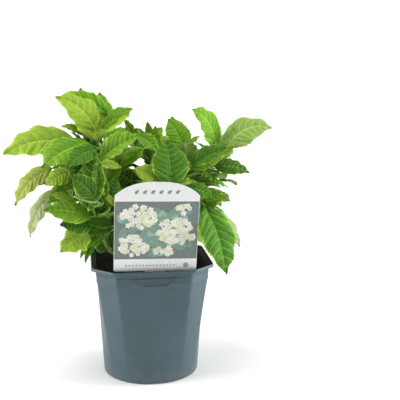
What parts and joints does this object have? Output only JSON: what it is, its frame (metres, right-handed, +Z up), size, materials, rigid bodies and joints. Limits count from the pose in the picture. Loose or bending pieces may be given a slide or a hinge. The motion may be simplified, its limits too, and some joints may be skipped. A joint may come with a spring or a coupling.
{
  "type": "potted hydrangea shrub",
  "caption": "Young hydrangea shrub in leaf, growing in a square-shouldered dark plastic nursery pot with a printed picture card behind the front rim.",
  "frame": {"origin": "centre of the pot's flat underside", "axes": "+Z up; -Y towards the viewer, the side with the card; +X to the viewer's right"},
  "size_m": [0.4211, 0.2863, 0.4553],
  "materials": {
    "pot": "satin moulded plastic, dark blue-grey",
    "soil": "moist dark peat-like compost",
    "card": "printed white plastic card",
    "wood": "pale brown flaky bark",
    "cane": "smooth green cane with small corky spots",
    "leaf": "quilted, slightly glossy leaf, paler beneath"
  },
  "bodies": {
    "root": {"pot": "pot", "potting_soil": "soil", "plant_card": "card", "crown": "wood", "cane_left": "cane", "cane_top_left": "cane", "cane_front_left": "cane", "cane_centre": "cane", "cane_centre_right": "cane", "cane_right": "cane", "cane_back_right": "cane", "cane_back": "cane", "cane_back_left": "cane", "side_stem_left_low": "cane", "side_stem_centre_left": "cane", "side_stem_right_front": "cane", "side_stem_right_low": "cane", "side_stem_right_back": "cane", "side_stem_back_low": "cane", "side_stem_left_back": "cane", "foliage_left": "leaf", "foliage_top_left": "leaf", "foliage_front_left": "leaf", "foliage_centre": "leaf", "foliage_centre_right": "leaf", "foliage_right": "leaf", "foliage_back_right": "leaf", "foliage_back": "leaf", "foliage_back_left": "leaf", "foliage_left_low": "leaf", "foliage_centre_left": "leaf", "foliage_right_front": "leaf", "foliage_right_low": "leaf", "foliage_right_back": "leaf", "foliage_back_low": "leaf", "foliage_left_back": "leaf"}
  },
  "joints": []
}
